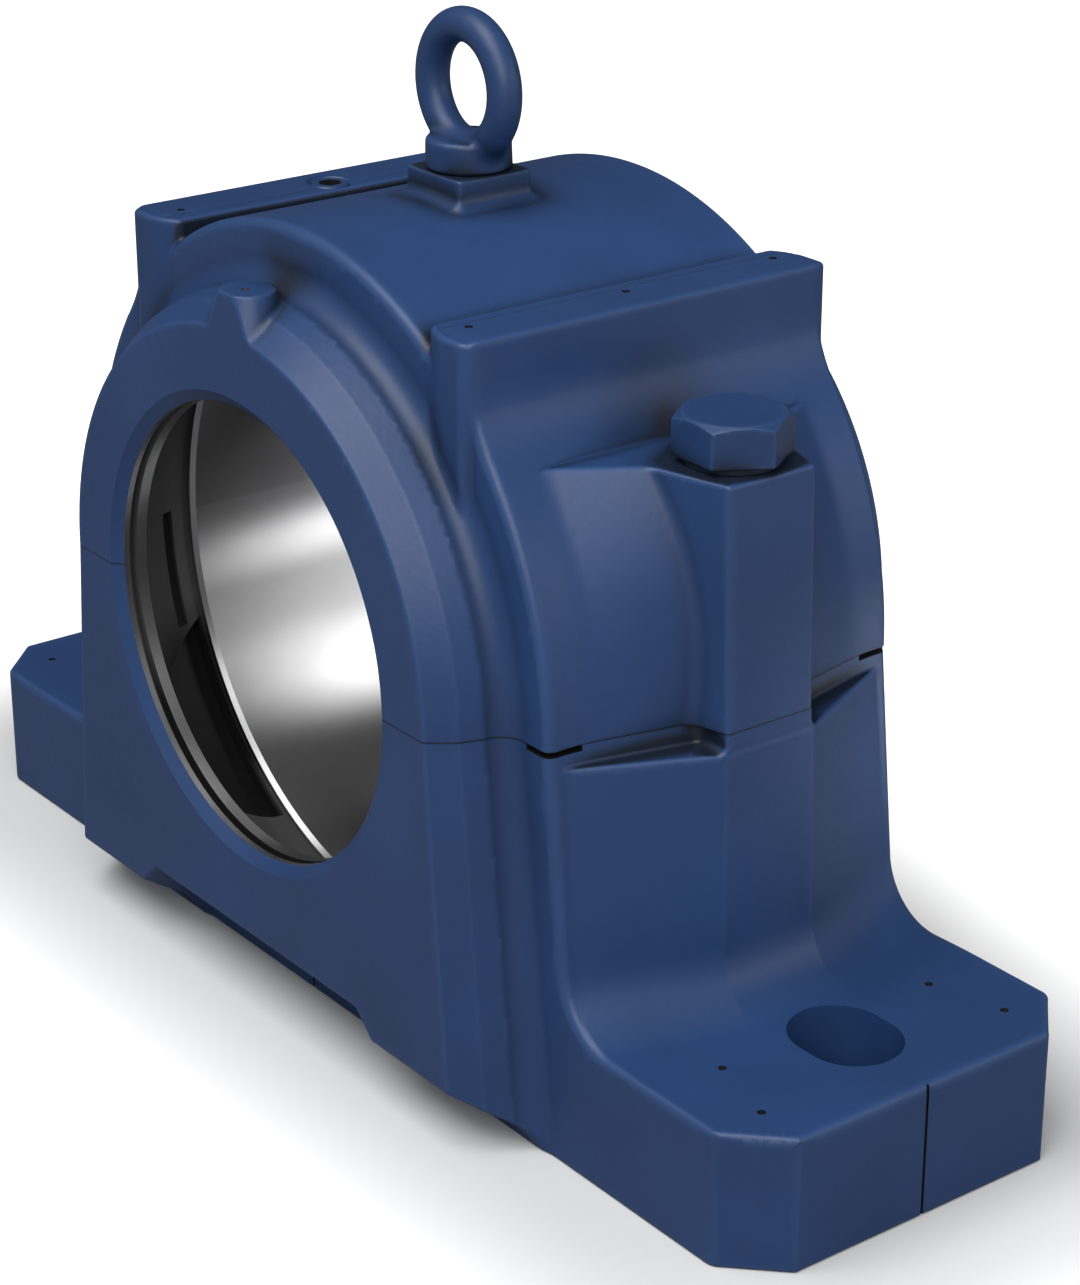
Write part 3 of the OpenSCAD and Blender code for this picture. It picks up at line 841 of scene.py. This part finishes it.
def inside_cutter(s):
    """Everything turned inside the housing, as one profile round the shaft axis. Each half has the mouth's
    chamfer, the land with its seal groove, the cavity's sloping wall and the chamfered edge of the seat."""
    mouth = s.nose_y - s.open_chamfer
    land_end = mouth - s.land
    groove = land_end + (s.land - s.groove) * 0.65
    groove_r = s.open_r + s.groove_deep
    cavity = s.seat_r + 3.6
    half = [
        (s.open_r + s.open_rise * (1.0 + 1.0 / s.open_chamfer), s.nose_y + 1.0, PAINT),
        (s.open_r, mouth, STEEL),
        (s.open_r, groove + s.groove, CAVITY),
        (groove_r, groove + s.groove, CAVITY),
        (groove_r, groove, CAVITY),
        (s.open_r, groove, STEEL),
        (s.open_r, land_end, CAVITY),
        (s.open_r + 10.0, land_end, CAVITY),
        (s.open_r + 17.0, land_end - 3.5, CAVITY),
        (s.seat_r - 13.0, land_end - 9.5, CAVITY),
        (s.seat_r - 4.5, land_end - 20.0, CAVITY),
        (s.seat_r + 1.0, land_end - 29.0, CAVITY),
        (cavity, s.seat_half + 6.0, CAVITY),
        (cavity, s.seat_half, CAVITY),
        (s.seat_r + 1.4, s.seat_half, STEEL),
        (s.seat_r, s.seat_half - 1.8, SEAT)]
    front = [(r, y) for r, y, _ in half]
    slots = [slot for _, _, slot in half]
    profile = front + [(r, -y) for r, y in front[::-1]]
    return spun(profile, slots + slots[-2::-1], 256, (0.0, 0.0, s.axis_z), "y")


def dimple(x, y, z):
    """A punched centre mark in an upper face."""
    profile = [(0.3, z - 3.0), (1.2, z - 1.6), (1.5, z + 0.1), (1.5, z + 1.0)]
    return spun(profile, [CAVITY] * 3, 24, (x, y, 0.0))


def hole(x, y, low, high, radius, turns=64):
    """A round hole along Z."""
    return spun([(radius, low), (radius, high)], [STEEL], turns, (x, y, 0.0))


def dowel_holes(bottom, top):
    """Holes of the two dowels in the split."""
    places = [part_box(name) for name in ("dowel_right", "dowel_left")]
    middles = [(low + high) / 2 / MM for low, high in places]
    radius = (places[0][1].x - places[0][0].x) / 2 / MM + FIT_GAP
    return [hole(middle.x, middle.y, bottom, top, radius, 32) for middle in middles]


def big_box(low, high):
    """A box well past the housing between two heights, for the split."""
    return box_cutter((-300.0, -140.0, low), (300.0, 140.0, high), STEEL)


def sump_outline(s, deeper, roof):
    """Outline in (x, z) of the left half of the sump: an arc round the shaft axis from the roof down to the
    broad rib that carries the seat across the middle, and an arc inside the cavity back again."""
    reach = s.seat_r + deeper
    turn = math.degrees(math.asin((s.axis_z - roof) / reach))
    foot = math.degrees(math.acos(s.rib_half / reach))
    return np.concatenate([
        arc((0.0, s.axis_z), reach, 180.0 + turn, 180.0 + foot, 40),
        arc((0.0, s.axis_z), s.seat_r - 14.0, 180.0 + foot, 180.0 + turn, 40)])


class PLUMMER_OT_cap(bpy.types.Operator):
    """Builds the cap of the housing."""

    bl_idname = "plummer.cap"
    bl_label = "Housing cap"

    def execute(self, context):
        s = in_mm(context.scene.housing_sizes)
        field = partial(cap_field, s)
        reach = (s.boss_x + CAST_MARGIN, s.nose_y + CAST_MARGIN, s.pad_z + CAST_MARGIN)
        piece = from_field(
            "cap_casting", field, s.axis_z - 4.0 * s.voxel, reach, s.voxel, CAST_ADAPT, finishes())
        bolt_hole = s.bolt_d / 2 + 1.0
        small = [hole(side * BOLT_X, 0.0, s.axis_z - 2.0, s.boss_z + 2.0, bolt_hole) for side in (-1.0, 1.0)]
        # the eye bolt's hole, and the plug's with its countersink and the channel below it
        small.append(hole(0.0, 0.0, s.pad_z - 24.0, s.pad_z + 2.0, 6.15, 48))
        channel_r, plug_r, sink_r = 3.0, s.plug_r + FIT_GAP, s.plug_r + 1.6
        small.append(spun(
            [(channel_r, s.axis_z + 60.0), (channel_r, s.bar_z - 12.5), (plug_r, s.bar_z - 12.5),
             (plug_r, s.bar_z - 1.4), (sink_r, s.bar_z + 0.2), (sink_r, s.bar_z + 2.0)],
            [CAVITY] * 3 + [PAINT] * 2, 48, (-s.plug_x, 0.0, 0.0)))
        small.append(dimple(s.plug_x, 0.0, s.bar_z))
        bar_marks = both([dimple(s.plug_x, s.half_depth - 10.0, s.bar_z)], 0)
        small += both(bar_marks + [dimple(0.0, s.nose_y - 8.0, s.nib_z)], 1)
        small += dowel_holes(s.axis_z - 1.0, s.axis_z + 12.6)
        cut(piece, [[big_box(0.0, s.axis_z)], [inside_cutter(s)], small])
        shade_cast(piece, field, partial(housing_field, s))
        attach(piece, "root")
        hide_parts("housing_cap")
        return {"FINISHED"}


class PLUMMER_OT_base(bpy.types.Operator):
    """Builds the base of the housing."""

    bl_idname = "plummer.base"
    bl_label = "Housing base"

    def execute(self, context):
        s = in_mm(context.scene.housing_sizes)
        field = partial(base_field, s)
        reach = (s.half_length + CAST_MARGIN, s.nose_y + CAST_MARGIN, s.axis_z + 4.0 * s.voxel)
        piece = from_field("base_casting", field, -3.0 * s.voxel, reach, s.voxel, CAST_ADAPT, finishes())
        # the slots of the feet
        run = s.slot_half - s.slot_r
        outline = np.concatenate([
            arc((s.slot_x + run, 0.0), s.slot_r, -90.0, 90.0, 40),
            arc((s.slot_x - run, 0.0), s.slot_r, 90.0, 270.0, 40)])
        small = both([prism(outline, -2.0, s.foot_z + 2.0, PAINT)], 0)
        # tapped holes, centre marks, and scribed lines at the middles of the ends and of the noses
        small += both([hole(BOLT_X, 0.0, s.axis_z - 50.0, s.axis_z + 2.0, s.bolt_d / 2 + FIT_GAP)], 0)
        small += on_four_sides([
            dimple(s.half_length - 48.7, s.half_depth - 28.5, s.foot_z),
            dimple(s.half_length - 20.0, s.half_depth - 20.6, s.foot_z)])
        small += both([box_cutter(
            (s.half_length - 0.8, -0.6, -1.0), (s.half_length + 1.0, 0.6, s.foot_z - 0.3), CAVITY)], 0)
        small += both([box_cutter(
            (-0.6, s.half_depth - 0.8, -1.0), (0.6, s.half_depth + 6.0, 24.0), CAVITY)], 1)
        # dark gaps in the split at the body's corners, under the cap's webs
        small += on_four_sides([box_cutter(
            (s.barrel_r - 11.5, s.half_depth - 14.0, s.axis_z - 2.2),
            (s.barrel_r + 18.5, s.half_depth + 2.0, s.axis_z + 2.0), CAVITY)])
        small += dowel_holes(s.axis_z - 12.0, s.axis_z + 2.0)
        # drain groove that follows the cavity's wall down from the split
        drain_x, drain_z = -99.0, 105.0
        wall = arc((0.0, s.axis_z), s.seat_r + 6.6, 180.0, 200.8, 16)
        outline = np.concatenate([wall, [[drain_x, drain_z], [drain_x, s.axis_z]]])
        drain = prism(outline, 55.0, 60.2, CAVITY, "y")
        # sump on both sides of the seat, its roof falling outwards, with a rib across its middle
        sump = prism(sump_outline(s, 11.0, 104.0), 48.4, 86.0, CAVITY, "y", sump_outline(s, 3.0, 84.0))
        cut(piece, [[big_box(s.axis_z, s.axis_z + 40.0)], [inside_cutter(s)], on_four_sides([sump]),
                    on_four_sides([drain]), small])
        shade_cast(piece, field, partial(housing_field, s))
        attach(piece, "root")
        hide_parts("housing_base")
        return {"FINISHED"}


# Fasteners: the bolts and the eye are field meshes for what shows, with a helical surface for the thread;
# the plug and the dowels are turned profiles


def threaded(radius, deep, pitch, low, high, smooth=0.0, turns=48):
    """Points and faces of a threaded rod: its radius is the nominal one less the depth times a sharp-edged
    wave of the height along the axis over the pitch less the angle, fading out at both ends; above the height
    of the thread the rod is plain."""
    rows = int((high - low) / pitch * 8.0)
    z = np.linspace(low, high, rows)[:, None]
    angle = (np.arange(turns) * 2.0 * math.pi / turns)[None, :]
    wave = np.abs(((z / pitch - angle / (2.0 * math.pi)) % 1.0) * 2.0 - 1.0)
    fade = ramp(z, low, low + pitch) * (1.0 - ramp(z, high - smooth - pitch, high - smooth))
    r = radius - deep * wave * fade - 0.6 * deep * (1.0 - ramp(z, low, low + 0.8 * pitch))
    height = np.broadcast_to(z, r.shape)
    points = np.stack([r * np.cos(angle), r * np.sin(angle), height], axis=2).reshape(-1, 3)
    here = np.arange(turns)
    after = (here + 1) % turns
    low_row = (np.arange(rows - 1) * turns)[:, None]
    high_row = low_row + turns
    faces = np.stack([low_row + here, low_row + after, high_row + after, high_row + here], axis=2)
    faces = faces.reshape(-1, 4)
    return points, faces.tolist() + [here[::-1].tolist(), (here + (rows - 1) * turns).tolist()]


def add_rod(piece, rod, middle):
    """Adds a rod's closed surface to a piece as a second shell, in its second material, the machined one."""
    points, faces = rod
    helper = add_piece("rod", points + np.array([*middle, 0.0]), faces, piece.data.materials)
    helper.data.polygons.foreach_set("material_index", np.full(len(faces), STEEL, np.int32))
    shade_smooth(helper.data, 40.0)
    with bpy.context.temp_override(active_object=piece, selected_editable_objects=[piece, helper]):
        bpy.ops.object.join()


class PLUMMER_OT_bolts(bpy.types.Operator):
    """Builds both cap bolts."""

    bl_idname = "plummer.bolts"
    bl_label = "Cap bolts"

    def execute(self, context):
        s = in_mm(context.scene.housing_sizes)
        finishes()
        field = partial(head_field, s)
        depth, pitch, plain = 1.6, 3.0, 58.0
        rod = threaded(s.bolt_d / 2.0, depth, pitch, BOLT_LOW, s.boss_z + 2.0, plain)
        for side, node_name in ((1.0, "cap_bolt_right"), (-1.0, "cap_bolt_left")):
            middle = (side * BOLT_X, 0.0)
            piece = from_field(
                node_name + "_dressed", field, s.boss_z - 1.5, (24.0, 21.0, BOLT_TOP + 1.5), HEAD_VOXEL,
                BOLT_ADAPT, named("blue bolt paint", "machined land"), middle)
            shade_cast(piece, field, partial(housing_field, s), middle)
            add_rod(piece, rod, middle)
            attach(piece, "root")
            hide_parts(node_name)
        return {"FINISHED"}


class PLUMMER_OT_eye(bpy.types.Operator):
    """Builds the eye bolt."""

    bl_idname = "plummer.eye"
    bl_label = "Eye bolt"

    def execute(self, context):
        s = in_mm(context.scene.housing_sizes)
        finishes()
        field = partial(eye_field, s)
        piece = from_field(
            "eye_bolt_dressed", field, s.pad_z - 2.0, (30.0, 18.0, EYE_TOP + 2.0), EYE_VOXEL, BOLT_ADAPT,
            named("blue bolt paint", "machined land"))
        shade_cast(piece, field, partial(housing_field, s))
        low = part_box("eye_bolt")[0].z / MM
        radius, depth, pitch, plain = 6.0, 0.9, 1.75, 4.0
        add_rod(piece, threaded(radius, depth, pitch, low, s.pad_z + 3.0, plain, 32), (0.0, 0.0))
        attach(piece, "root")
        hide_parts("eye_bolt")
        return {"FINISHED"}


class PLUMMER_OT_plug(bpy.types.Operator):
    """Builds the lubrication plug with its hexagon socket."""

    bl_idname = "plummer.plug"
    bl_label = "Lubrication plug"

    def execute(self, context):
        s = in_mm(context.scene.housing_sizes)
        finishes()
        low, high = (corner.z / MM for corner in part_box("lube_plug"))
        r = s.plug_r
        profile = [(r - 1.2, low), (r, low + 1.2), (r, high - 0.6), (r - 0.6, high)]
        points, faces, _ = spun(profile, [PAINT] * 3, 64, (-s.plug_x, 0.0, 0.0))
        materials = named("blue bolt paint", "machined land", "dark cavity")
        piece = add_piece("lube_plug_dressed", points, faces, materials)
        angle = np.radians(np.arange(6) * 60.0 + 30.0)
        socket = np.stack([np.cos(angle), np.sin(angle)], axis=1) * s.socket / math.sqrt(3.0)
        cut(piece, [[prism(socket + np.array([-s.plug_x, 0.0]), high - 5.5, high + 1.0, CAVITY)]])
        shade_smooth(piece.data, CAST_ANGLE)
        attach(piece, "root")
        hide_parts("lube_plug")
        return {"FINISHED"}


class PLUMMER_OT_dowels(bpy.types.Operator):
    """Builds the dowel pins of the split, with their chamfered ends."""

    bl_idname = "plummer.dowels"
    bl_label = "Dowel pins"

    def execute(self, context):
        finishes()
        for node_name in ("dowel_right", "dowel_left"):
            low, high = (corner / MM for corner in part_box(node_name))
            middle = (low + high) / 2.0
            r = (high.x - low.x) / 2.0
            profile = [(r - 1.0, low.z), (r - 0.3, low.z + 0.5), (r, low.z + 1.2), (r, high.z - 1.2),
                       (r - 0.3, high.z - 0.5), (r - 1.0, high.z)]
            points, faces, _ = spun(profile, [PAINT] * 5, 48, (middle.x, middle.y, 0.0))
            piece = add_piece(node_name + "_dressed", points, faces, named("dowel steel"))
            shade_smooth(piece.data, 50.0)
            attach(piece, "root")
            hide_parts(node_name)
        return {"FINISHED"}


# Stage

FLOOR_DIFFUSE = (0.28, 0.28, 0.29, 1.0)
FLOOR_MIRRORED = (0.25, 0.25, 0.26, 1.0)
FLOOR_SEEN = (0.70, 0.70, 0.705, 1.0)
WHITE = (1.0, 1.0, 1.0, 1.0)

# Half the size of the housing's outline on the floor, in metres; round it the floor's glow is held back as a
# painted shadow
OUTLINE_HALF = (0.25, 0.08, 0.0)

# The camera, solved from the photograph's straight edges, circles and corners: its place in metres, its
# angles in degrees, its lens and sensor in millimetres
CAMERA_PLACE = (0.892026, -0.647221, 0.590578)
CAMERA_AZIMUTH = 52.7361
CAMERA_ELEVATION = 23.0562
CAMERA_LENS = 79.8275
CAMERA_SENSOR = 32.0


def floor_material(look):
    """White floor that keeps the housing's shadow: where it is seen, it glows more with its distance from
    the housing's outline, so that round the housing it stays darker, a painted shadow beside the lamps' own.
    In reflections and for the light that it throws back it is a darker grey."""
    material, tree, shader, place = new_material("white floor")
    path = tree.nodes.new("ShaderNodeLightPath")
    tint = mix_colour(tree, path.outputs["Is Glossy Ray"], FLOOR_DIFFUSE, FLOOR_MIRRORED)
    tint = mix_colour(tree, path.outputs["Is Camera Ray"], tint, FLOOR_SEEN)
    outside = moved(tree, "SUBTRACT", moved(tree, "ABSOLUTE", place), OUTLINE_HALF)
    outside = moved(tree, "MAXIMUM", outside, (0.0, 0.0, 0.0))
    away = moved(tree, "LENGTH", moved(tree, "MULTIPLY", outside, (1.0, 1.0, 0.0)))
    level = ranged(tree, away, 0.01, 0.15, 0.0, look.floor_lit, "SMOOTHSTEP")
    glow = calculated(tree, "MULTIPLY", path.outputs["Is Camera Ray"], level)
    tree.links.new(tint, shader.inputs["Base Color"])
    tree.links.new(glow, shader.inputs["Emission Strength"])
    shader.inputs["Emission Color"].default_value = WHITE
    shader.inputs["Specular IOR Level"].default_value = 0.0
    shader.inputs["Roughness"].default_value = 0.8
    return material


def photo_camera():
    """The camera, standing where the photograph was taken from."""
    azimuth, elevation = math.radians(CAMERA_AZIMUTH), math.radians(CAMERA_ELEVATION)
    ahead = Vector((-math.sin(azimuth) * math.cos(elevation), math.cos(azimuth) * math.cos(elevation),
                    -math.sin(elevation)))
    right = Vector((math.cos(azimuth), math.sin(azimuth), 0.0))
    turned = Matrix((right, right.cross(ahead), -ahead)).transposed().to_4x4()
    lens = bpy.data.cameras.new("photo camera")
    lens.sensor_width = CAMERA_SENSOR
    lens.sensor_height = CAMERA_SENSOR
    lens.lens = CAMERA_LENS
    camera = bpy.data.objects.new("photo camera", lens)
    camera.matrix_world = Matrix.Translation(CAMERA_PLACE) @ turned
    return camera


def lamp(name, place, target, size, power, spread=180.0):
    """An area light that looks at a target."""
    data = bpy.data.lights.new(name, "AREA")
    data.shape = "RECTANGLE"
    data.size, data.size_y = size
    data.energy = power
    data.spread = math.radians(spread)
    light = bpy.data.objects.new(name, data)
    light.location = place
    light.visible_camera = False
    light.rotation_euler = (Vector(target) - Vector(place)).to_track_quat("-Z", "Y").to_euler()
    return light


def room(look):
    """Even light of the room, white where the camera sees it and dim in reflections."""
    world = bpy.data.worlds.new("studio room")
    world.use_nodes = True
    tree = world.node_tree
    back = tree.nodes["Background"]
    path = tree.nodes.new("ShaderNodeLightPath")
    level = ranged(tree, path.outputs["Is Glossy Ray"], 0.0, 1.0, look.room, look.mirror)
    level = ranged(tree, path.outputs["Is Camera Ray"], 0.0, 1.0, level, 1.0)
    back.inputs["Color"].default_value = WHITE
    tree.links.new(level, back.inputs["Strength"])
    return world


class PLUMMER_OT_stage(bpy.types.Operator):
    """Sets the floor, the lights, the room and the camera."""

    bl_idname = "plummer.stage"
    bl_label = "Studio stage"

    def execute(self, context):
        look = context.scene.stage_look
        reach, low = 6000.0, -0.3
        corners = [(-reach, -reach, low), (reach, -reach, low), (reach, reach, low), (-reach, reach, low)]
        floor = add_piece("studio_floor", corners, [(0, 1, 2, 3)], [floor_material(look)])
        camera = photo_camera()
        centre = (0.0, 0.0, 0.15)
        lights = [
            lamp("top light", (0.0, -1.0, 2.4), centre, (1.8, 1.8), look.key),
            lamp("left light", (-1.3, -1.5, 1.0), centre, (1.4, 1.4), look.fill),
            lamp("softbox", (1.15, -0.86, 1.15), centre, (1.1, 1.1), look.soft),
            lamp("floor light", (0.85, 0.5, 0.9), (0.85, 0.5, 0.0), (0.6, 0.6), look.floor_light,
                 spread=60.0),
            lamp("right card", (1.64, 1.22, 0.8), centre, (1.6, 0.8), look.right_card),
            # two small lights behind the bore, for the turned steel of the bearing seat
            lamp("low glint", (0.2, 0.2, 0.11), (-0.12, 0.0, 0.134), (0.24, 0.07), look.low_glint,
                 spread=60.0),
            lamp("high glint", (0.07, 0.165, 0.258), (-0.1, 0.025, 0.08), (0.15, 0.12), look.high_glint,
                 spread=38.0)]
        for thing in [camera] + lights:
            context.scene.collection.objects.link(thing)
        context.scene.camera = camera
        context.scene.world = room(look)
        context.scene.view_settings.view_transform = "Standard"
        return {"FINISHED"}


class PLUMMER_PT_panel(bpy.types.Panel):
    """Panel that lists what can be built."""

    bl_label = "Plummer block"
    bl_idname = "PLUMMER_PT_panel"
    bl_space_type = "VIEW_3D"
    bl_region_type = "UI"
    bl_category = "Plummer block"

    def draw(self, context):
        for operator in OPERATORS:
            self.layout.operator(operator.bl_idname)


OPERATORS = (PLUMMER_OT_base, PLUMMER_OT_cap, PLUMMER_OT_bolts, PLUMMER_OT_eye, PLUMMER_OT_plug,
             PLUMMER_OT_dowels, PLUMMER_OT_stage)
GROUPS = (HousingSizes, FinishLook, StageLook)
CLASSES = GROUPS + OPERATORS + (PLUMMER_PT_panel,)


def register():
    """Registers the classes and hangs the property groups on the scene."""
    for cls in CLASSES:
        bpy.utils.register_class(cls)
    bpy.types.Scene.housing_sizes = bpy.props.PointerProperty(type=HousingSizes)
    bpy.types.Scene.finish_look = bpy.props.PointerProperty(type=FinishLook)
    bpy.types.Scene.stage_look = bpy.props.PointerProperty(type=StageLook)


def unregister():
    """Takes both back again."""
    for name in ("housing_sizes", "finish_look", "stage_look"):
        delattr(bpy.types.Scene, name)
    for cls in reversed(CLASSES):
        bpy.utils.unregister_class(cls)


def main():
    """Builds everything in order."""
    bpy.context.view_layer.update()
    register()
    bpy.ops.plummer.base()
    bpy.ops.plummer.cap()
    bpy.ops.plummer.bolts()
    bpy.ops.plummer.eye()
    bpy.ops.plummer.plug()
    bpy.ops.plummer.dowels()
    bpy.ops.plummer.stage()


if __name__ == "__main__":
    main()
